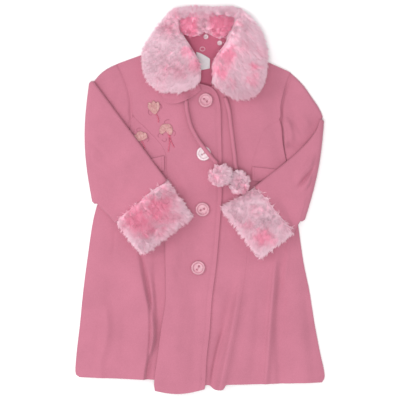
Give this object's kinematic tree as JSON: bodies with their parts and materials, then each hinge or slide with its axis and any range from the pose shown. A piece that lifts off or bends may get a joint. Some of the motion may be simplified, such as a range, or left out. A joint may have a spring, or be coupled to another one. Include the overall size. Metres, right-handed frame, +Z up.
{
  "type": "child's coat, laid flat",
  "caption": "Pink wool child's coat laid flat, princess seams and flared skirt, fur collar and cuffs, buttoned front, pompom ties, sleeves folded across.",
  "frame": {"origin": "on the surface the coat lies on, below the middle of its outline", "axes": "+X to the wearer's left, +Y from hem to collar, +Z up from the surface"},
  "size_m": [0.398, 0.617, 0.0501],
  "materials": {
    "wool": "soft felted wool, dusty pink",
    "fur": "short dense soft fur, pale pink tips over deeper pink",
    "button": "pearly moulded plastic",
    "flower": "sheer peach fabric with stitched edges",
    "label": "plain woven tape, blank"
  },
  "bodies": {
    "root": {"back": "wool", "front_right_centre": "wool", "front_right_side": "wool", "front_left_centre": "wool", "front_left_side": "wool", "sleeve_right": "wool", "sleeve_left": "wool", "cuff_right": "fur", "cuff_left": "fur", "collar_fur_right": "fur", "collar_fur_left": "fur", "collar_fur_back": "fur", "collar_cloth_right": "wool", "collar_cloth_left": "wool", "pocket_flap_right": "wool", "pocket_flap_left": "wool", "button_1": "button", "button_2": "button", "button_3": "button", "button_4": "button", "collar_button_right": "button", "collar_button_left": "button", "tie_right": "wool", "tie_left": "wool", "pompom_right": "fur", "pompom_left": "fur", "flower_1": "flower", "flower_2": "flower", "flower_3": "flower", "neck_label": "label", "hang_loop": "label"}
  },
  "joints": []
}
